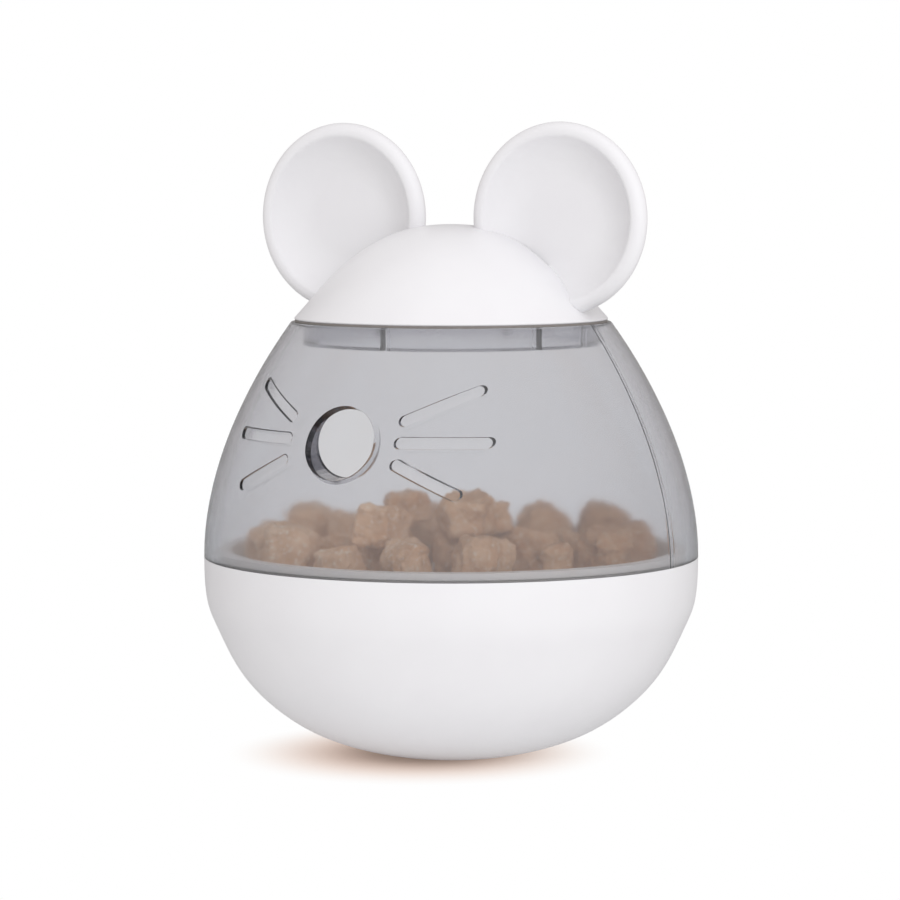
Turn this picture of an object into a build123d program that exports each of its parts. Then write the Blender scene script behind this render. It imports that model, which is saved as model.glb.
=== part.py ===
from build123d import *
import os
from math import cos, hypot, pi, radians, sin

# Roly-poly treat dispenser: a weighted bowl, a smoke-tinted chamber with a nose hole and whisker grooves,
# a push-fit dome lid with two dished ears, and the heap of treats inside.
# Millimetres, +Z up, nose towards -Y, ears along X, origin at the middle of the flat foot.

os.makedirs("parts", exist_ok=True)

# Body of revolution that bowl, shell and dome share
body_radius = 46.0  # widest, at the seam between bowl and shell
seam_height = 37.3
shell_height = 43.5  # from the seam to the mouth
mouth_radius = 29.7  # outside of the shell's mouth
dome_rise = 17.6  # from the seal to the crown
foot_radius = 8.0  # flat foot that the bowl stands on

# Clearances
overrun = 1.0  # how far a cut runs past what it cuts
seat_clearance = 0.1  # fixed piece in its seat
slide_clearance = 0.3  # lid in the mouth, tray in the bowl

# Bowl: a full-bellied curve, with a step joint at the rim
bowl_wall = 2.4
bowl_belly_power = 2.57  # above 2 is fuller than an ellipse
bowl_side_power = 1.98
bowl_station_shares = [0.40, 0.60, 0.75, 0.87, 0.95]  # of the bowl's radius
bowl_foot_slope_share = 0.08
rim_step_depth = 1.5
rim_step_width = 1.0
boss_radius = 3.2
boss_gap = 1.5  # between bosses and ballast
post_radius = 4.0

# Ballast slug on the bowl's post, held by one screw
ballast_radius = 23.0
ballast_height = 9.5  # above the inside of the bowl's foot
ballast_edge = 1.0
ballast_screw_head_radius = 7.0
ballast_screw_head_height = 2.4
ballast_screw_radius = 1.6
ballast_screw_length = 7.0

# Tray that closes the bowl and holds the treats
tray_depth = 4.3  # from the seam down to the floor's upper face
tray_floor = 1.8
tray_wall = 1.6
tray_lip_rise = 1.5  # above the seam
tray_lip = 1.2
tray_screw_count = 3
tray_screw_angle = 30.0
tray_screw_radius = 1.3
tray_screw_head_radius = 2.6
tray_screw_head_height = 1.4
tray_screw_length = 9.0

# Chamber shell
shell_wall = 2.0  # measured square to the axis
mouth_edge_round = 0.3
shell_draw_power = 1.9  # how late the wall draws in towards the mouth
shell_station_shares = [0.25, 0.50, 0.75]  # of the shell's height
nose_rise = 23.9  # from the seam to the nose's middle
nose_radius = 7.0
nose_inner_radius = 6.1  # the tube narrows towards its inner end
nose_wall = 0.8
nose_depth = 3.4  # from the outside of the shell to the tube's inner end
nose_tilt = 7.6  # outer end upward

# Whisker grooves: three on each side of the nose, fanned out
whisker_width = 2.0
whisker_depth = 0.8  # leaves the rest of the wall closed
whisker_start = 10.5  # sideways from the nose's middle
whisker_long_reach = 25.9
whisker_short_reach = 22.7
whisker_start_spread = 3.8
whisker_end_spread = 8.8

# Lid: seal ring, skirt with sprung tongues, dome
seal_thickness = 0.4
seal_inset = 0.4
lid_step = 0.3  # the dome's edge inside the mouth's
dome_wall = 2.4
dome_outline_shares = [(0.33, 0.92), (0.63, 0.64), (0.82, 0.34)]  # of radius and height
dome_edge_slope_share = 1.8
dome_edge_round = 0.25
skirt_depth = 4.6  # below the mouth's edge
skirt_wall = 2.0
spigot_height = 1.2
tongue_count = 6
tongue_slit = 1.2
tongue_slit_angle = 3.5  # first slit, from the nose towards +X
tongue_root = 1.2
bead_rise = 0.15
bead_height = 1.2

# Ears: dished discs that stand in the plane of the axis, each with a tenon through the dome
ear_radius = 17.6
ear_inset = 6.5  # from the lid's edge in to the ear's middle
ear_rise = 18.8  # from the seal to the ear's middle
ear_front = 2.35  # from the axis plane forward to the rim's front
ear_rim = 3.5
ear_dish_radius = 15.2
ear_dish_flat = 7.0  # radius of the dish's level floor
ear_dish_depth = 4.0
ear_dish_round = 0.9  # where the dish meets the rim
ear_web = 2.2
tenon_width = 9.0
tenon_thickness = 1.6
tenon_proud = 1.0  # inside the dome

# Treats: baked lumps in rings on the tray, with a few more heaped on them
treat_size = 12.6
treat_height_share = 0.82
treat_round_share = 0.30
treat_size_spread_share = 0.12
treat_corner_share = 0.08
treat_corner_counts = [5, 6]
treat_gap = 0.2
golden_angle = 137.508  # spreads the lumps' sizes and turns without repeating
treat_sway_share = 0.01  # how far a lump is set in from its ring
treat_pitch_share = 1.06  # from one lump to the next, of a lump's size
treat_first_angle = 16.0  # of the outer ring, from the nose towards +X
treat_ring_turn = 17.0  # from each ring to the next
heap_angle = 29.0  # side of the tray where the upper lumps lie
heap_height_share = 0.64
heap_shares = [(1.65, 0.50), (0.78, 0.21), (0.86, -0.93), (1.79, -0.59)]  # of the pitch, in and across

# Worked out from the sizes above
mouth_height = seam_height + shell_height
seal_top = mouth_height + seal_thickness
crown_height = seal_top + dome_rise
nose_height = seam_height + nose_rise
tray_floor_height = seam_height - tray_depth
lid_radius = mouth_radius - lid_step
ear_spread = lid_radius - ear_inset
ear_height = seal_top + ear_rise
tray_underside = tray_floor_height - tray_floor
boss_circle = ballast_radius + boss_gap + boss_radius
ballast_top = bowl_wall + ballast_height
skirt_radius = mouth_radius - shell_wall - slide_clearance
skirt_bore = skirt_radius - skirt_wall
spigot_radius = lid_radius - dome_wall
bowl_fall_share = 1 - tray_underside / seam_height
bowl_reach_share = (1 - bowl_fall_share**bowl_side_power) ** (1 / bowl_belly_power)
tray_radius = body_radius * bowl_reach_share - bowl_wall - slide_clearance


# Closed outline in (radius, height), turned about Z
def turned(edges):
    return revolve(Plane.XZ * make_face(edges), Axis.Z)


def ring(inner, outer, low, high):
    corners = [(inner, low), (outer, low), (outer, high), (inner, high)]
    return turned(Polyline(*corners, close=True))


def disc(radius, low, high):
    return ring(0, radius, low, high)


def upright(radius, x, y, low, high):
    return Pos(x, y, 0) * disc(radius, low, high)


# Points at equal angles on a circle about Z, the first turned from -Y towards +X
def around(count, radius, first):
    angles = [radians(first + 360 * step / count) for step in range(count)]
    return [(radius * sin(angle), -radius * cos(angle)) for angle in angles]


def bowl_rise(radius_share):
    return 1 - (1 - radius_share**bowl_belly_power) ** (1 / bowl_side_power)


# The bowl's outline filled to the axis, drawn in by an inset
def bowl_filled(inset):
    radius = body_radius - inset
    height = seam_height - inset
    stations = [(radius * share, inset + height * bowl_rise(share)) for share in bowl_station_shares]
    foot = (foot_radius, inset)
    rim = (radius, seam_height)
    belly = Spline(foot, *stations, rim, tangents=[(1, bowl_foot_slope_share), (0, 1)])
    return turned([belly, Polyline(rim, (0, seam_height), (0, inset), foot)])


def shell_radius(height):
    rise_share = (height - seam_height) / shell_height
    return body_radius - (body_radius - mouth_radius) * rise_share**shell_draw_power


def shell_line(inset):
    levels = [seam_height + shell_height * share for share in [0, *shell_station_shares, 1]]
    top_tangent = (-shell_draw_power * (body_radius - mouth_radius), shell_height)
    points = [(shell_radius(level) - inset, level) for level in levels]
    return Spline(*points, tangents=[(0, 1), top_tangent])


# The shell's outline filled to the axis, drawn in by an inset
def shell_filled(inset):
    line = shell_line(inset)
    return turned([line, Polyline(line @ 1, (0, mouth_height), (0, seam_height), line @ 0)])


# The dome's outline from its crown to its edge
def dome_line(inset):
    radius = lid_radius - inset
    height = crown_height - inset - seal_top
    stations = [(radius * out, seal_top + height * up) for out, up in dome_outline_shares]
    crown = (0, seal_top + height)
    edge_tangent = (radius, -dome_edge_slope_share * height)
    return Spline(crown, *stations, (radius, seal_top), tangents=[(1, 0), edge_tangent])


def dome_filled(inset):
    line = dome_line(inset)
    return turned([line, Polyline(line @ 1, (0, seal_top), line @ 0)])


# Screw on the axis, head up, with the outline of its head from the shank to the rim
def screw(shank_radius, tip, head):
    top = head[-1][1]
    return turned(Polyline((0, tip), (shank_radius, tip), *head, (0, top), close=True))


# Bowl: wall, step joint at the rim, screw bosses and the ballast post
def make_base_bowl():
    outside = bowl_filled(0)
    hollow = bowl_filled(bowl_wall)
    step_floor = seam_height - rim_step_depth - seat_clearance
    step_radius = body_radius - shell_wall + rim_step_width + seat_clearance
    pillars = disc(post_radius, 0, ballast_top - seat_clearance)
    for x, y in around(tray_screw_count, boss_circle, tray_screw_angle):
        pillars += upright(boss_radius, x, y, 0, tray_underside)
    bowl = outside - hollow - disc(step_radius, step_floor, seam_height + overrun) + (outside & pillars)
    pilot = upright(ballast_screw_radius, 0, 0, ballast_top - ballast_screw_length, ballast_top)
    for x, y in around(tray_screw_count, boss_circle, tray_screw_angle):
        pilot += upright(tray_screw_radius, x, y, tray_floor_height - tray_screw_length, tray_floor_height)
    return bowl - pilot


# Ballast: a slug whose underside follows the bowl
def make_ballast_weight():
    slug = bowl_filled(bowl_wall + seat_clearance) & disc(ballast_radius, 0, ballast_top)
    slug -= disc(post_radius + seat_clearance, 0, ballast_top + overrun)
    top_edge = slug.edges().filter_by(GeomType.CIRCLE).sort_by(SortBy.RADIUS)[-2:].sort_by(Axis.Z)[-1]
    return chamfer(top_edge, ballast_edge)


def make_ballast_screw():
    shank = ballast_screw_radius
    rim = ballast_screw_head_radius
    head = [(shank, ballast_top), (rim, ballast_top), (rim, ballast_top + ballast_screw_head_height)]
    return screw(shank, ballast_top - ballast_screw_length, head)


# Tray: floor, wall and a lip that closes up to the shell
def make_floor_tray():
    lip_top = seam_height + tray_lip_rise
    lip_radius = body_radius - shell_wall - slide_clearance
    tray = disc(tray_radius, tray_underside, tray_floor_height)
    tray += ring(tray_radius - tray_wall, tray_radius, tray_underside, lip_top)
    tray += ring(tray_radius - tray_wall, lip_radius, lip_top - tray_lip, lip_top)
    for x, y in around(tray_screw_count, boss_circle, tray_screw_angle):
        tray -= Pos(x, y, 0) * tray_screw(seat_clearance)
    return tray


def tray_screw(clearance):
    shank = tray_screw_radius + clearance
    rim = tray_screw_head_radius + clearance
    head = [(shank, tray_floor_height - tray_screw_head_height), (rim, tray_floor_height)]
    return screw(shank, tray_floor_height - tray_screw_length, head)


def make_tray_screws():
    places = around(tray_screw_count, boss_circle, tray_screw_angle)
    return [Pos(x, y, 0) * tray_screw(0) for x, y in places]


# Chamber shell: bell wall, tongue for the step joint, nose tube and whisker grooves
def make_chamber_shell():
    outside = shell_filled(0)
    shell = outside - shell_filled(shell_wall)
    mouth_edges = shell.edges().filter_by(GeomType.CIRCLE).group_by(Axis.Z)[-1]
    shell = fillet(mouth_edges, mouth_edge_round)
    tongue_bore = body_radius - shell_wall
    shell += ring(tongue_bore, tongue_bore + rim_step_width, seam_height - rim_step_depth, seam_height)
    outward = (0, -cos(radians(nose_tilt)), sin(radians(nose_tilt)))
    nose = Plane((0, -shell_radius(nose_height), nose_height), x_dir=(1, 0, 0), z_dir=outward)
    shell += nose * nose_cone(nose_wall, nose_depth) & outside
    shell -= nose * nose_cone(0, nose_depth + overrun)
    groove_floor = shell_filled(whisker_depth)
    for groove in whisker_grooves():
        shell -= extrude(Plane.XZ * groove, amount=body_radius + overrun) - groove_floor
    return shell


# The nose's bore, grown by a wall: tapered from the outside of the shell down to a depth
def nose_cone(wall, depth):
    taper_share = (nose_radius - nose_inner_radius) / nose_depth
    wide = nose_radius + wall
    narrow = wide - taper_share * depth
    corners = [(0, -depth), (narrow, -depth), (wide, 0), (wide, body_radius), (0, body_radius)]
    return turned(Polyline(*corners, close=True))


# Groove outlines seen along the nose: a long level one and two short slanted ones on each side
def whisker_grooves():
    end_round = whisker_width / 2
    rows = [
        (whisker_start_spread, whisker_short_reach, whisker_end_spread),
        (0, whisker_long_reach, 0),
        (-whisker_start_spread, whisker_short_reach, -whisker_end_spread),
    ]
    grooves = []
    for side in (-1, 1):
        for rise, reach, end_rise in rows:
            start = Vector(side * (whisker_start + end_round), nose_height + rise)
            end = Vector(side * (reach - end_round), nose_height + end_rise)
            grooves.append(SlotCenterPoint((start + end) / 2, end, whisker_width))
    return grooves


def make_lid_seal():
    return ring(mouth_radius - shell_wall, lid_radius - seal_inset, mouth_height, seal_top)


# Lid skirt: ring welded under the dome, slit into sprung tongues with a bead outside each
def make_lid_skirt():
    low = mouth_height - skirt_depth
    skirt = ring(skirt_bore, skirt_radius, low, seal_top)
    skirt += ring(skirt_bore, spigot_radius - seat_clearance, seal_top, seal_top + spigot_height)
    bead_middle = low + bead_height / 2
    bead = [(skirt_bore, low), (skirt_radius, low), (skirt_radius + bead_rise, bead_middle)]
    bead += [(skirt_radius, low + bead_height), (skirt_bore, low + bead_height)]
    skirt += turned(Polyline(*bead, close=True))
    slit_height = skirt_depth + seal_thickness - tongue_root
    for step in range(tongue_count):
        turn = tongue_slit_angle + 360 * step / tongue_count
        outward = (Align.CENTER, Align.MAX, Align.MIN)
        slit = Box(tongue_slit, lid_radius, slit_height + overrun, align=outward)
        skirt -= Rot(0, 0, turn) * Pos(0, 0, low - overrun) * slit
    return skirt


# Disc of one ear, turned about its own axis, with the rim's front at the given side of the axis plane
def ear_disc(side):
    crest = ear_radius - ear_rim / 2
    dish_bottom = (0, ear_dish_depth)
    back = (0, ear_dish_depth + ear_web)
    dish_edge = (ear_dish_radius, 0)
    floor_edge = (ear_dish_flat, ear_dish_depth)
    dish = [Line(dish_bottom, floor_edge), TangentArc(floor_edge, dish_edge, tangent=(1, 0))]
    rim = ThreePointArc((crest, 0), (ear_radius, ear_rim / 2), (crest, ear_rim))
    round_back = TangentArc(back, (crest, ear_rim), tangent=(1, 0))
    outline = make_face([*dish, Line(dish_edge, (crest, 0)), rim, round_back, Line(back, dish_bottom)])
    outline = fillet(outline.vertices().sort_by_distance(dish_edge)[0], ear_dish_round)
    standing = Plane((side * ear_spread, -ear_front, ear_height), x_dir=(1, 0, 0), z_dir=(0, 0, 1))
    return revolve(standing * outline, Axis(standing.origin, (0, 1, 0)))


# Blade from the dome's middle to the ear's middle: the tenon is cut from it, and so is its slot
def ear_blade(side, clearance):
    run = Vector(side * ear_spread, 0, ear_height - seal_top)
    web_middle = -ear_front + ear_dish_depth / 2 + ear_web
    foot = Plane((0, web_middle, seal_top), x_dir=(0, 1, 0), z_dir=run)
    thickness = tenon_thickness + 2 * clearance
    width = tenon_width + 2 * clearance
    return foot * Box(thickness, width, run.length, align=(Align.CENTER, Align.CENTER, Align.MIN))


# Ear: the part of its disc outside the dome, and a tenon through the dome's wall
def make_ear(side):
    plate = ear_disc(side)
    dome = dome_filled(0)
    wall = dome - dome_filled(dome_wall + tenon_proud)
    return plate - dome + (plate & ear_blade(side, 0) & wall)


def make_lid_dome():
    dome = dome_filled(0) - dome_filled(dome_wall)
    dome -= disc(spigot_radius, seal_top - overrun, seal_top + spigot_height)
    for side in (-1, 1):
        dome -= ear_blade(side, seat_clearance)
    edge = dome.edges().filter_by(GeomType.CIRCLE).sort_by(SortBy.RADIUS)[-1]
    return fillet(edge, dome_edge_round)


# One treat: a rounded lump on a five- or six-cornered plan, its underside at height zero
def treat_lump(number, height_share):
    phase = radians(golden_angle * number)
    size = treat_size * (1 + treat_size_spread_share * sin(phase))
    height = height_share * size
    rounding = treat_round_share * height
    corner_count = treat_corner_counts[number % len(treat_corner_counts)]
    corners = []
    for corner in range(corner_count):
        angle = phase + 2 * pi * corner / corner_count
        out = size / 2 * (1 - treat_corner_share * (1 + sin(2 * angle + phase)))
        corners.append((out * cos(angle), out * sin(angle)))
    lump = extrude(make_face(Polyline(*corners, close=True)), amount=height)
    flat = size / 2 - rounding / cos(pi / corner_count)
    return fillet(lump.edges(), rounding), flat, rounding, height


# Height at which a lump's rounded underside meets the rounded top of one below it
def resting_height(offset, flat, rounding, below):
    below_flat, below_rounding, top = below
    reach = rounding + below_rounding
    apart = max(offset - flat - below_flat, 0)
    if apart >= reach + treat_gap:
        return tray_floor_height
    return top - reach + max(reach**2 - apart**2, 0) ** 0.5


# Places of the treats seen from above, and how tall: rings from the wall inward, then the upper lumps
def treat_places():
    pitch = treat_size * treat_pitch_share
    outer_ring = tray_radius - tray_wall - treat_gap - pitch / 2
    places = []
    for number in range(round(outer_ring / pitch)):
        radius = outer_ring - number * pitch
        count = int(2 * pi * radius / pitch)
        for x, y in around(count, radius, treat_first_angle + number * treat_ring_turn):
            places.append((x, y, treat_height_share))
    out_x, out_y = around(1, 1, heap_angle)[0]
    for inward, sideways in heap_shares:
        ahead = outer_ring - inward * pitch
        aside = sideways * pitch
        places.append((ahead * out_x - aside * out_y, ahead * out_y + aside * out_x, heap_height_share))
    return places


# Heap: each treat drops onto the tray or into the hollow between those under it
def make_treats():
    placed = []
    treats = []
    for number, (x, y, height_share) in enumerate(treat_places()):
        lump, flat, rounding, height = treat_lump(number, height_share)
        sway = 1 - treat_sway_share * (1 + sin(radians(2 * golden_angle * number)))
        x *= sway
        y *= sway
        base = tray_floor_height
        for below_x, below_y, below in placed:
            offset = hypot(x - below_x, y - below_y)
            base = max(base, resting_height(offset, flat, rounding, below))
        placed.append((x, y, (flat, rounding, base + height)))
        treats.append(Pos(x, y, base) * lump)
    return treats


pieces = {
    "base_bowl": make_base_bowl(),
    "ballast_weight": make_ballast_weight(),
    "ballast_screw": make_ballast_screw(),
    "floor_tray": make_floor_tray(),
    "tray_screws": Compound(children=make_tray_screws()),
    "chamber_shell": make_chamber_shell(),
    "lid_seal": make_lid_seal(),
    "lid_skirt": make_lid_skirt(),
    "lid_dome": make_lid_dome(),
    "left_ear": make_ear(-1),
    "right_ear": make_ear(1),
}
for number, treat in enumerate(make_treats(), start=1):
    pieces[f"treat_{number:02d}"] = treat

for name, piece in pieces.items():
    export_step(piece, f"parts/{name}.step")
    print(f"{name}: {piece.volume:.1f} mm3")
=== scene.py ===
import bmesh
import bpy
from math import cos, radians, sin
from mathutils import Matrix, Vector


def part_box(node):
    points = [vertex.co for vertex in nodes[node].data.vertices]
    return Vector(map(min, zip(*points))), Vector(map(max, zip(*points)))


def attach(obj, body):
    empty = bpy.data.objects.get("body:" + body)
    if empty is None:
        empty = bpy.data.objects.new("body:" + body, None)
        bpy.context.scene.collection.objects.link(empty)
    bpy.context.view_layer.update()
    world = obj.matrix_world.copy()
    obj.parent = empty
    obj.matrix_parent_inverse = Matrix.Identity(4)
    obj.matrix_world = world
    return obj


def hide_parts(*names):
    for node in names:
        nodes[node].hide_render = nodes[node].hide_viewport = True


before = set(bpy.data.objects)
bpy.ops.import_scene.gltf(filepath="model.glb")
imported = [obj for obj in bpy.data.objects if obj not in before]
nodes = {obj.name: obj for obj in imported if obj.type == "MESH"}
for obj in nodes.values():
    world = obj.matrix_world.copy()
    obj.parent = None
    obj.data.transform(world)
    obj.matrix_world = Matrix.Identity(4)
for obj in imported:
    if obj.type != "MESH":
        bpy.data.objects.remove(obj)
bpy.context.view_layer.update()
scene = bpy.context.scene
scene.view_settings.view_transform = "Standard"
mm = 0.001
up = (0, 0, 1)
print("frame loaded:", len(nodes), "pieces")


def linear(hexColour):  # sRGB hex to the linear colour that sockets take
    shares = [int(hexColour[i:i + 2], 16) / 255 for i in (1, 3, 5)]
    return tuple(s / 12.92 if s <= 0.04045 else ((s + 0.055) / 1.055) ** 2.4 for s in shares) + (1.0,)


def addNode(tree, kind, inputs=None, **settings):  # a node with its settings, its values and its links
    node = tree.nodes.new(kind)
    for name, value in settings.items():
        setattr(node, name, value)
    for name, value in (inputs or {}).items():
        if isinstance(value, bpy.types.NodeSocket):
            tree.links.new(value, node.inputs[name])
        else:
            node.inputs[name].default_value = value
    return node


def newMaterial(name):
    material = bpy.data.materials.new(name)
    material.use_nodes = True
    material.node_tree.nodes.clear()
    tree = material.node_tree
    place = addNode(tree, "ShaderNodeTexCoord").outputs["Object"]
    return material, tree, place


def dress(material, *names):
    for name in names:
        mesh = nodes[name].data
        mesh.materials.clear()
        mesh.materials.append(material)


# White ABS, injection moulded in a lightly blasted tool: soft satin sheen, fine grain, slow changes of gloss
whiteAbs = {"colour": "#e3e3e5", "shade": "#dddcdf", "roughness": (0.36, 0.46), "ior": 1.53,
            "flow": 14 * mm, "flowDetail": 3.0,
            "grain": 0.5 * mm, "grainDetail": 2.0, "grainDepth": 0.004 * mm}

# The tray is of the same plastic, painted lighter to stand for more light in the dim chamber, and warmed by
# the fine dust of the treats
paintedLightDustyAbs = dict(whiteAbs, colour="#fdfaf6", shade="#f6ede3", flow=5 * mm)


def makeWhiteAbs(v, name):
    material, tree, place = newMaterial(name)
    flow = addNode(tree, "ShaderNodeTexNoise",
                   {"Vector": place, "Scale": 1 / v["flow"], "Detail": v["flowDetail"]}).outputs["Fac"]
    grain = addNode(tree, "ShaderNodeTexNoise",
                    {"Vector": place, "Scale": 1 / v["grain"], "Detail": v["grainDetail"]}).outputs["Fac"]
    colour = addNode(tree, "ShaderNodeMix",
                     {"Factor": flow, "A": linear(v["shade"]), "B": linear(v["colour"])}, data_type="RGBA")
    low, high = v["roughness"]
    gloss = addNode(tree, "ShaderNodeMapRange", {"Value": flow, "To Min": low, "To Max": high})
    bump = addNode(tree, "ShaderNodeBump", {"Height": grain, "Distance": v["grainDepth"]})
    plastic = addNode(tree, "ShaderNodeBsdfPrincipled",
                      {"Base Color": colour.outputs["Result"], "Roughness": gloss.outputs["Result"],
                       "Normal": bump.outputs["Normal"], "IOR": v["ior"]})
    addNode(tree, "ShaderNodeOutputMaterial", {"Surface": plastic.outputs["BSDF"]})
    return material


# Smoke polycarbonate, injection moulded: slight milky haze, a tint that deepens with the way through the
# plastic, and painted shade on the walls of holes and grooves, dark as they show the plastic along its sheet
# the cut-wall colour is painted shade, the plastic itself is no darker there
smokeShell = {"tint": "#fbfbfc", "cutWallShade": "#505058", "absorb": "#5e6a8a", "density": 98.0,
              "roughness": (0.08, 0.12), "ior": 1.5, "clear": 0.95, "flow": 18 * mm, "flowDetail": 2.0,
              "lightThrough": "#ffffff", "partingWidth": 0.5 * mm, "partingRise": 0.03 * mm,
              "sideways": (0.3, 0.7, 1.0), "upward": (0.72, 0.86, 0.5),  # slope from, slope to, how dark
              "nose": (0, -40.78 * mm, 61.2 * mm), "noseTilt": 7.6, "noseTaper": 0.9 / 3.4,
              "tubeSkin": 7.8 * mm, "tubeSlack": 0.4 * mm}

# The lid's skirt is of the same plastic with a little more dye, less haze and no painted shade on its cut
# walls
smokeSkirt = dict(smokeShell, cutWallShade=smokeShell["tint"], clear=0.99, density=110.0)


def makeSmoke(v, name):
    material, tree, place = newMaterial(name)
    flow = addNode(tree, "ShaderNodeTexNoise",
                   {"Vector": place, "Scale": 1 / v["flow"], "Detail": v["flowDetail"]}).outputs["Fac"]
    low, high = v["roughness"]
    haze = addNode(tree, "ShaderNodeMapRange", {"Value": flow, "To Min": low, "To Max": high})

    # Fine ridge where the two halves of the mould met
    apart = addNode(tree, "ShaderNodeSeparateXYZ", {"Vector": place})
    side = addNode(tree, "ShaderNodeMath", {0: apart.outputs["Y"]}, operation="ABSOLUTE")
    ridge = addNode(tree, "ShaderNodeMapRange",
                    {"Value": side.outputs["Value"], "From Max": v["partingWidth"],
                     "To Min": 1.0, "To Max": 0.0}, interpolation_type="SMOOTHSTEP")
    bump = addNode(tree, "ShaderNodeBump", {"Height": ridge.outputs["Result"], "Distance": v["partingRise"]})

    # Painted shade on the walls of cuts: they face along the shell's skin, sideways or upward, and take the
    # cut-wall colour
    normal = addNode(tree, "ShaderNodeNewGeometry").outputs["True Normal"]
    across = addNode(tree, "ShaderNodeVectorMath", {0: place, 1: up}, operation="CROSS_PRODUCT")
    ringwise = addNode(tree, "ShaderNodeVectorMath", {0: across.outputs["Vector"]}, operation="NORMALIZE")
    cuts = []
    for direction, span in ((ringwise.outputs["Vector"], v["sideways"]), (up, v["upward"])):
        slope = addNode(tree, "ShaderNodeVectorMath", {0: normal, 1: direction}, operation="DOT_PRODUCT")
        size = addNode(tree, "ShaderNodeMath", {0: slope.outputs["Value"]}, operation="ABSOLUTE")
        cut = addNode(tree, "ShaderNodeMapRange",
                      {"Value": size.outputs["Value"], "From Min": span[0], "From Max": span[1],
                       "To Max": span[2]}, interpolation_type="SMOOTHSTEP")
        cuts.append(cut.outputs["Result"])
    eitherCutShade = addNode(tree, "ShaderNodeMath", {0: cuts[0], 1: cuts[1]}, operation="MAXIMUM")

    # The outer skin of the nose tube, a cone about the tilted nose, stays clear of the painted shade
    level = addNode(tree, "ShaderNodeVectorRotate",
                    {"Vector": place, "Center": v["nose"], "Angle": radians(v["noseTilt"])},
                    rotation_type="X_AXIS")
    fromNose = addNode(tree, "ShaderNodeVectorMath", {0: level.outputs["Vector"], 1: v["nose"]},
                       operation="SUBTRACT").outputs["Vector"]
    depth = addNode(tree, "ShaderNodeSeparateXYZ", {"Vector": fromNose}).outputs["Y"]
    flat = addNode(tree, "ShaderNodeVectorMath", {0: fromNose, 1: (1, 0, 1)}, operation="MULTIPLY")
    reach = addNode(tree, "ShaderNodeVectorMath", {0: flat.outputs["Vector"]}, operation="LENGTH")
    cone = addNode(tree, "ShaderNodeMath", {0: depth, 1: v["noseTaper"], 2: reach.outputs["Value"]},
                   operation="MULTIPLY_ADD")
    tube = addNode(tree, "ShaderNodeMath", {0: cone.outputs["Value"], 1: v["tubeSkin"], 2: v["tubeSlack"]},
                   operation="COMPARE")
    dark = addNode(tree, "ShaderNodeMath", {0: eitherCutShade.outputs["Value"], 1: tube.outputs["Value"]},
                   operation="SUBTRACT", use_clamp=True)
    # The smoke tint, turned towards the painted cut-wall shade where the mask says
    tint = addNode(tree, "ShaderNodeMix",
                   {"Factor": dark.outputs["Value"], "A": linear(v["tint"]), "B": linear(v["cutWallShade"])},
                   data_type="RGBA")

    wall = addNode(tree, "ShaderNodeBsdfPrincipled",
                   {"Base Color": tint.outputs["Result"], "Roughness": haze.outputs["Result"],
                    "IOR": v["ior"], "Transmission Weight": v["clear"], "Normal": bump.outputs["Normal"]})
    lamp = addNode(tree, "ShaderNodeBsdfTransparent", {"Color": linear(v["lightThrough"])})
    path = addNode(tree, "ShaderNodeLightPath")
    mix = addNode(tree, "ShaderNodeMixShader",
                  {0: path.outputs["Is Shadow Ray"], 1: wall.outputs["BSDF"], 2: lamp.outputs["BSDF"]})
    inside = addNode(tree, "ShaderNodeVolumeAbsorption",
                     {"Color": linear(v["absorb"]), "Density": v["density"]})
    addNode(tree, "ShaderNodeOutputMaterial",
            {"Surface": mix.outputs["Shader"], "Volume": inside.outputs["Volume"]})
    return material


# Silicone rubber, moulded: grey, matt, with dust in its pores
sealRubber = {"colour": "#7d7875", "dust": "#96918d", "roughness": 0.7, "ior": 1.42,
              "pore": 0.8 * mm, "poreDetail": 4.0}


def makeRubber(v):
    material, tree, place = newMaterial("silicone rubber, moulded matt")
    pores = addNode(tree, "ShaderNodeTexNoise",
                    {"Vector": place, "Scale": 1 / v["pore"], "Detail": v["poreDetail"]}).outputs["Fac"]
    colour = addNode(tree, "ShaderNodeMix",
                     {"Factor": pores, "A": linear(v["colour"]), "B": linear(v["dust"])}, data_type="RGBA")
    rubber = addNode(tree, "ShaderNodeBsdfPrincipled",
                     {"Base Color": colour.outputs["Result"], "Roughness": v["roughness"], "IOR": v["ior"]})
    addNode(tree, "ShaderNodeOutputMaterial", {"Surface": rubber.outputs["BSDF"]})
    return material


# Cast iron, shot blasted: dark grey, pitted
castIron = {"colour": "#4a4a4c", "pit": "#2c2b2b", "roughness": 0.62, "metallic": 0.8,
            "grit": 1.2 * mm, "gritDetail": 5.0, "gritDepth": 0.15 * mm}


def makeIron(v):
    material, tree, place = newMaterial("cast iron, shot blasted")
    grit = addNode(tree, "ShaderNodeTexNoise",
                   {"Vector": place, "Scale": 1 / v["grit"], "Detail": v["gritDetail"]}).outputs["Fac"]
    colour = addNode(tree, "ShaderNodeMix",
                     {"Factor": grit, "A": linear(v["pit"]), "B": linear(v["colour"])}, data_type="RGBA")
    bump = addNode(tree, "ShaderNodeBump", {"Height": grit, "Distance": v["gritDepth"]})
    iron = addNode(tree, "ShaderNodeBsdfPrincipled",
                   {"Base Color": colour.outputs["Result"], "Roughness": v["roughness"],
                    "Metallic": v["metallic"], "Normal": bump.outputs["Normal"]})
    addNode(tree, "ShaderNodeOutputMaterial", {"Surface": iron.outputs["BSDF"]})
    return material


# Zinc-plated steel, barrel plated: bright, faintly mottled
zincSteel = {"colour": "#c3c5c8", "mottle": "#a9abb0", "roughness": (0.26, 0.4), "metallic": 1.0,
             "spangle": 0.9 * mm}


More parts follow.
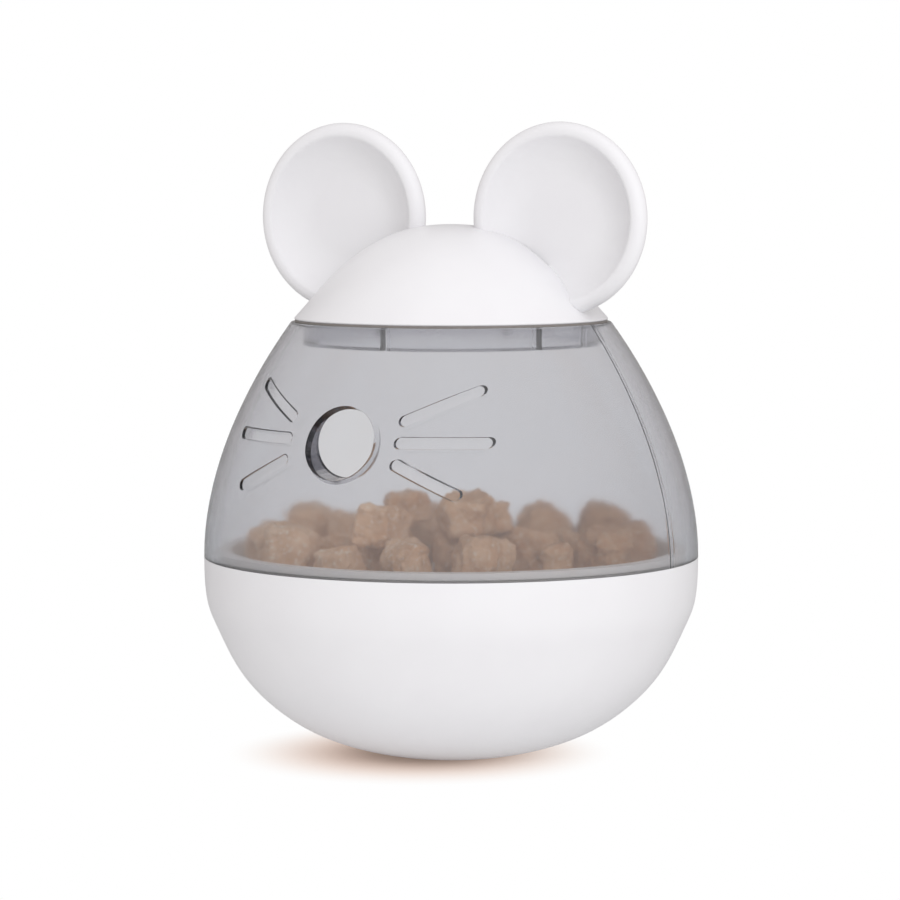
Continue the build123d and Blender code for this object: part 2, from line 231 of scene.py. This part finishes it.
def makeZinc(v):
    material, tree, place = newMaterial("zinc-plated steel, barrel plated")
    spangle = addNode(tree, "ShaderNodeTexVoronoi",
                      {"Vector": place, "Scale": 1 / v["spangle"]}).outputs["Distance"]
    colour = addNode(tree, "ShaderNodeMix",
                     {"Factor": spangle, "A": linear(v["mottle"]), "B": linear(v["colour"])},
                     data_type="RGBA")
    low, high = v["roughness"]
    gloss = addNode(tree, "ShaderNodeMapRange", {"Value": spangle, "To Min": low, "To Max": high})
    steel = addNode(tree, "ShaderNodeBsdfPrincipled",
                    {"Base Color": colour.outputs["Result"], "Roughness": gloss.outputs["Result"],
                     "Metallic": v["metallic"]})
    addNode(tree, "ShaderNodeOutputMaterial", {"Surface": steel.outputs["BSDF"]})
    return material


# Baked crumb: dry, matt, tan with browner crust and pale flecks, and painted shade that darkens the heap
# towards one side
bakedCrumb = {"crust": "#e2b58e", "crumb": "#f8d5b3", "fleck": "#fff2de", "roughness": 0.85,
              # the side colour, its direction and reach are painted shade, darker towards one side of the
              # heap
              "baked": "#d0bfae", "bakedSide": (0.87, 0.49, 0), "bakedReach": 30 * mm,
              "blotch": 4.5 * mm, "blotchDetail": 4.0, "blotchRoughness": 0.6, "crustSpan": (0.35, 0.65),
              "grain": 0.9 * mm, "grainDetail": 5.0, "grainRoughness": 0.65, "fleckSpan": (0.52, 0.72),
              "grainDepth": 0.4 * mm}


def makeCrumb(v):
    material, tree, place = newMaterial("baked treat crumb")
    blotch = addNode(tree, "ShaderNodeTexNoise",
                     {"Vector": place, "Scale": 1 / v["blotch"], "Detail": v["blotchDetail"],
                      "Roughness": v["blotchRoughness"]}).outputs["Fac"]
    grain = addNode(tree, "ShaderNodeTexNoise",
                    {"Vector": place, "Scale": 1 / v["grain"], "Detail": v["grainDetail"],
                     "Roughness": v["grainRoughness"]}).outputs["Fac"]
    low, high = v["crustSpan"]
    crust = addNode(tree, "ShaderNodeMapRange", {"Value": blotch, "From Min": low, "From Max": high})
    low, high = v["fleckSpan"]
    fleck = addNode(tree, "ShaderNodeMapRange", {"Value": grain, "From Min": low, "From Max": high})
    brown = addNode(tree, "ShaderNodeMix",
                    {"Factor": crust.outputs["Result"], "A": linear(v["crust"]), "B": linear(v["crumb"])},
                    data_type="RGBA")
    colour = addNode(tree, "ShaderNodeMix",
                     {"Factor": fleck.outputs["Result"], "A": brown.outputs["Result"],
                      "B": linear(v["fleck"])}, data_type="RGBA")
    # Painted shade: the colour darkens across the heap towards one side
    side = addNode(tree, "ShaderNodeVectorMath", {0: place, 1: v["bakedSide"]}, operation="DOT_PRODUCT")
    baked = addNode(tree, "ShaderNodeMapRange",
                    {"Value": side.outputs["Value"], "From Min": -v["bakedReach"],
                     "From Max": v["bakedReach"]})
    shadedTone = addNode(tree, "ShaderNodeMix",
                   {"Factor": baked.outputs["Result"], "A": colour.outputs["Result"],
                    "B": linear(v["baked"])}, data_type="RGBA", blend_type="MULTIPLY")
    bump = addNode(tree, "ShaderNodeBump", {"Height": grain, "Distance": v["grainDepth"]})
    dry = addNode(tree, "ShaderNodeBsdfPrincipled",
                  {"Base Color": shadedTone.outputs["Result"], "Roughness": v["roughness"],
                   "Normal": bump.outputs["Normal"]})
    addNode(tree, "ShaderNodeOutputMaterial", {"Surface": dry.outputs["BSDF"]})
    return material


dress(makeWhiteAbs(whiteAbs, "white ABS, moulded satin"), "base_bowl", "lid_dome", "left_ear", "right_ear")
# The tray's copy of the white plastic is lighter as painted light, and warm with dust
dress(makeWhiteAbs(paintedLightDustyAbs, "white ABS, moulded satin, dusty"), "floor_tray")
dress(makeSmoke(smokeShell, "smoke polycarbonate, moulded"), "chamber_shell")
dress(makeSmoke(smokeSkirt, "smoke polycarbonate, moulded thick"), "lid_skirt")
dress(makeRubber(sealRubber), "lid_seal")
dress(makeIron(castIron), "ballast_weight")
dress(makeZinc(zincSteel), "ballast_screw", "tray_screws")
crumb = makeCrumb(bakedCrumb)
print("materials set")

# Treats: each lump of the frame swollen and tilted a little, then worn and crumbled from its skin inward
lump = {"swell": 1.24, "tilt": 11.0, "turnStep": 137.5, "weld": 0.001 * mm,
        "upperFrom": 1.0 * mm, "settle": 1.4 * mm,  # a lump that starts above the tray settles between others
        "rolled": {"treat_31": 3.0 * mm},  # further down, where it rolled between its neighbours
        "Voxel": 0.35 * mm, "Chunk": 4.2 * mm, "Chunk Depth": 1.2 * mm, "chunkSpan": (0.3, 0.7),
        "Crumb": 1.7 * mm, "Crumb Depth": 0.6 * mm, "crumbSpan": (0.8, 0.1), "detail": 1.0, "Seed": 3.0}


def makeLumpTree(v):
    tree = bpy.data.node_groups.new("crumbled lump", "GeometryNodeTree")
    tree.interface.new_socket("Geometry", in_out="INPUT", socket_type="NodeSocketGeometry")
    for name in ("Voxel", "Chunk", "Chunk Depth", "Crumb", "Crumb Depth", "Seed"):
        socket = tree.interface.new_socket(name, in_out="INPUT", socket_type="NodeSocketFloat")
        socket.default_value = v[name]
    tree.interface.new_socket("Geometry", in_out="OUTPUT", socket_type="NodeSocketGeometry")
    given = addNode(tree, "NodeGroupInput").outputs
    solid = addNode(tree, "GeometryNodeMeshToVolume",
                    {"Mesh": given["Geometry"], "Voxel Size": given["Voxel"]}, resolution_mode="VOXEL_SIZE")
    skin = addNode(tree, "GeometryNodeVolumeToMesh",
                   {"Volume": solid.outputs["Volume"], "Voxel Size": given["Voxel"]},
                   resolution_mode="VOXEL_SIZE")
    perChunk = addNode(tree, "ShaderNodeMath", {0: 1.0, 1: given["Chunk"]}, operation="DIVIDE")
    chunks = addNode(tree, "ShaderNodeTexNoise",
                     {"Scale": perChunk.outputs["Value"], "Detail": v["detail"], "W": given["Seed"]},
                     noise_dimensions="4D")
    perCrumb = addNode(tree, "ShaderNodeMath", {0: 1.0, 1: given["Crumb"]}, operation="DIVIDE")
    crumbs = addNode(tree, "ShaderNodeTexVoronoi",
                     {"Scale": perCrumb.outputs["Value"], "Detail": v["detail"], "W": given["Seed"]},
                     voronoi_dimensions="4D")
    worn = []
    for value, span, depth in ((chunks.outputs["Fac"], v["chunkSpan"], given["Chunk Depth"]),
                               (crumbs.outputs["Distance"], v["crumbSpan"], given["Crumb Depth"])):
        inward = addNode(tree, "ShaderNodeMath", {0: depth, 1: -1.0}, operation="MULTIPLY")
        away = addNode(tree, "ShaderNodeMapRange",
                       {"Value": value, "From Min": span[0], "From Max": span[1],
                        "To Min": inward.outputs["Value"], "To Max": 0.0})
        worn.append(away.outputs["Result"])
    total = addNode(tree, "ShaderNodeMath", {0: worn[0], 1: worn[1]}, operation="ADD")
    normal = addNode(tree, "GeometryNodeInputNormal")
    shift = addNode(tree, "ShaderNodeVectorMath",
                    {0: normal.outputs["Normal"], "Scale": total.outputs["Value"]}, operation="SCALE")
    moved = addNode(tree, "GeometryNodeSetPosition",
                    {"Geometry": skin.outputs["Mesh"], "Offset": shift.outputs["Vector"]})
    smooth = addNode(tree, "GeometryNodeSetShadeSmooth", {"Geometry": moved.outputs["Geometry"]})
    real = addNode(tree, "GeometryNodeRealizeInstances", {"Geometry": smooth.outputs["Geometry"]})
    dressed = addNode(tree, "GeometryNodeSetMaterial",
                      {"Geometry": real.outputs["Geometry"], "Material": crumb})
    addNode(tree, "NodeGroupOutput", {"Geometry": dressed.outputs["Geometry"]})
    return tree


def makeTreat(name, number, tree, v, trayFloor):
    low, high = (Vector(corner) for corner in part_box(name))
    sink = v["settle"] if low.z > trayFloor + v["upperFrom"] else 0
    sink += v["rolled"].get(name, 0)
    middle = (low + high) / 2
    turn = radians(v["turnStep"] * number)
    tilt = Matrix.Rotation(radians(v["tilt"]), 4, (cos(turn), sin(turn), 0)) @ Matrix.Scale(v["swell"], 4)
    aboutMiddle = Matrix.Translation(middle) @ tilt @ Matrix.Translation(-middle)
    shape = bmesh.new()
    shape.from_mesh(nodes[name].data)
    bmesh.ops.remove_doubles(shape, verts=shape.verts, dist=v["weld"])
    bmesh.ops.transform(shape, matrix=aboutMiddle, verts=shape.verts)
    mesh = bpy.data.meshes.new(name + "_plain")
    shape.to_mesh(mesh)
    shape.free()
    treat = bpy.data.objects.new(name + "_crumbled", mesh)
    scene.collection.objects.link(treat)
    modifier = treat.modifiers.new("crumble", "NODES")
    modifier.node_group = tree
    for socket in tree.interface.items_tree:
        if socket.in_out == "INPUT" and socket.name == "Seed":
            modifier[socket.identifier] = v["Seed"] * number
    done = bpy.data.meshes.new_from_object(treat.evaluated_get(bpy.context.evaluated_depsgraph_get()))
    treat.modifiers.remove(modifier)
    lowest = min(vertex.co.z for vertex in done.vertices)
    done.transform(Matrix.Translation((0, 0, low.z - sink - lowest)))
    treat.data = done
    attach(treat, "base")
    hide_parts(name)


lumpTree = makeLumpTree(lump)
treatNames = sorted(name for name in nodes if name.startswith("treat_"))
lowestTreat = min(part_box(name)[0][2] for name in treatNames)
for number, name in enumerate(treatNames):
    makeTreat(name, number, lumpTree, lump, lowestTreat)
print("treats crumbled:", len(treatNames))

# Floor and soft studio light; the floor glows white except near the foot, where it keeps the shadow,
# lightened by the glow and warmed by a painted shadow tint
studio = {"floorSize": 3.0, "white": "#ffffff", "shadowColour": "#e9d0c1", "shadowWarmth": "#ffe2cf",
          "shadowMiddle": (-5 * mm, -3 * mm, 0), "shadowReach": (7 * mm, 37 * mm), "shadowLift": 0.16,
          "floorGlow": 0.46, "worldFill": 0.78, "worldColour": "#fffbf9",
          "mirrorLevel": 0.33, "throughLevel": 0.865, "lampColour": "#fafcff", "aimHeight": 50 * mm,
          "topPower": 2.2, "topSize": 0.9, "topPlace": (0.25, -0.25, 0.95),
          "keyPower": 2.65, "keySize": 0.5, "keyPlace": (0.60, -0.55, 0.40)}


# Strength of a glow: its own for most rays, and set ones for what the plastic mirrors and lets through
def seenLevel(tree, path, v, level):
    for ray, own in (("Is Glossy Ray", v["mirrorLevel"]), ("Is Transmission Ray", v["throughLevel"]),
                     ("Is Camera Ray", 1.0)):
        mix = addNode(tree, "ShaderNodeMix", {"Factor": path.outputs[ray], "A": level, "B": own})
        level = mix.outputs["Result"]
    return level


def makeFloor(v):
    material, tree, place = newMaterial("pale studio floor")
    path = addNode(tree, "ShaderNodeLightPath")
    length = addNode(tree, "ShaderNodeVectorMath", {0: place, 1: v["shadowMiddle"]}, operation="DISTANCE")
    near, far = v["shadowReach"]
    away = addNode(tree, "ShaderNodeMapRange",
                   {"Value": length.outputs["Value"], "From Min": near, "From Max": far,
                    "To Min": v["shadowLift"]}, interpolation_type="SMOOTHSTEP").outputs["Result"]
    shown = path.outputs["Is Camera Ray"]
    for other in (path.outputs["Is Glossy Ray"], path.outputs["Is Transmission Ray"], v["floorGlow"]):
        shown = addNode(tree, "ShaderNodeMath", {0: shown, 1: other}, operation="MAXIMUM").outputs["Value"]
    glowShare = addNode(tree, "ShaderNodeMath", {0: shown, 1: away}, operation="MULTIPLY")
    colour = addNode(tree, "ShaderNodeMix",
                     {"Factor": path.outputs["Is Camera Ray"], "A": linear(v["white"]),
                      "B": linear(v["shadowColour"])}, data_type="RGBA")
    matt = addNode(tree, "ShaderNodeBsdfDiffuse", {"Color": colour.outputs["Result"]})
    warmth = addNode(tree, "ShaderNodeMix",
                     {"Factor": away, "A": linear(v["shadowWarmth"]), "B": linear(v["white"])},
                     data_type="RGBA")
    glow = addNode(tree, "ShaderNodeEmission",
                   {"Color": warmth.outputs["Result"], "Strength": seenLevel(tree, path, v, 1.0)})
    mix = addNode(tree, "ShaderNodeMixShader",
                  {0: glowShare.outputs["Value"], 1: matt.outputs["BSDF"], 2: glow.outputs["Emission"]})
    addNode(tree, "ShaderNodeOutputMaterial", {"Surface": mix.outputs["Shader"]})
    half = v["floorSize"] / 2
    corners = [(-half, -half, 0), (half, -half, 0), (half, half, 0), (-half, half, 0)]
    mesh = bpy.data.meshes.new("floor")
    mesh.from_pydata(corners, [], [(0, 1, 2, 3)])
    mesh.materials.append(material)
    floor = bpy.data.objects.new("floor", mesh)
    scene.collection.objects.link(floor)


def makeWorld(v):
    world = bpy.data.worlds.new("studio")
    world.use_nodes = True
    tree = world.node_tree
    tree.nodes.clear()
    path = addNode(tree, "ShaderNodeLightPath")
    colour = addNode(tree, "ShaderNodeMix",
                     {"Factor": path.outputs["Is Camera Ray"], "A": linear(v["worldColour"]),
                      "B": linear(v["white"])}, data_type="RGBA")
    sky = addNode(tree, "ShaderNodeBackground",
                  {"Color": colour.outputs["Result"], "Strength": seenLevel(tree, path, v, v["worldFill"])})
    addNode(tree, "ShaderNodeOutputWorld", {"Surface": sky.outputs["Background"]})
    scene.world = world


def addLamp(v, name):
    light = bpy.data.lights.new(name + " softbox", "AREA")
    light.energy = v[name + "Power"]
    light.size = v[name + "Size"]
    light.color = linear(v["lampColour"])[:3]
    lamp = bpy.data.objects.new(name + " softbox", light)
    lamp.location = v[name + "Place"]
    lamp.visible_glossy = False  # soft walls all round, no lamp mirrored in the plastic
    lamp.visible_transmission = False
    aim = Vector((0, 0, v["aimHeight"])) - Vector(v[name + "Place"])
    lamp.rotation_euler = aim.to_track_quat("-Z", "Y").to_euler()
    scene.collection.objects.link(lamp)


makeFloor(studio)
makeWorld(studio)
addLamp(studio, "top")
addLamp(studio, "key")

# Camera at the photograph's viewing angle, with the shift in pixels of the frame's width
view = {"lens": 140.24, "sensor": 36.0, "azimuth": 29.2, "distance": 0.6508, "height": 0.1102, "pitch": 4.69,
        "shift": -1.2, "frameWidth": 900}
cameraData = bpy.data.cameras.new("camera")
cameraData.lens = view["lens"]
cameraData.sensor_width = view["sensor"]
cameraData.shift_x = view["shift"] / view["frameWidth"]
camera = bpy.data.objects.new("camera", cameraData)
turn = radians(view["azimuth"])
camera.location = (view["distance"] * sin(turn), -view["distance"] * cos(turn), view["height"])
camera.rotation_euler = (radians(90 - view["pitch"]), 0, turn)
scene.collection.objects.link(camera)
scene.camera = camera
print("studio and camera set")
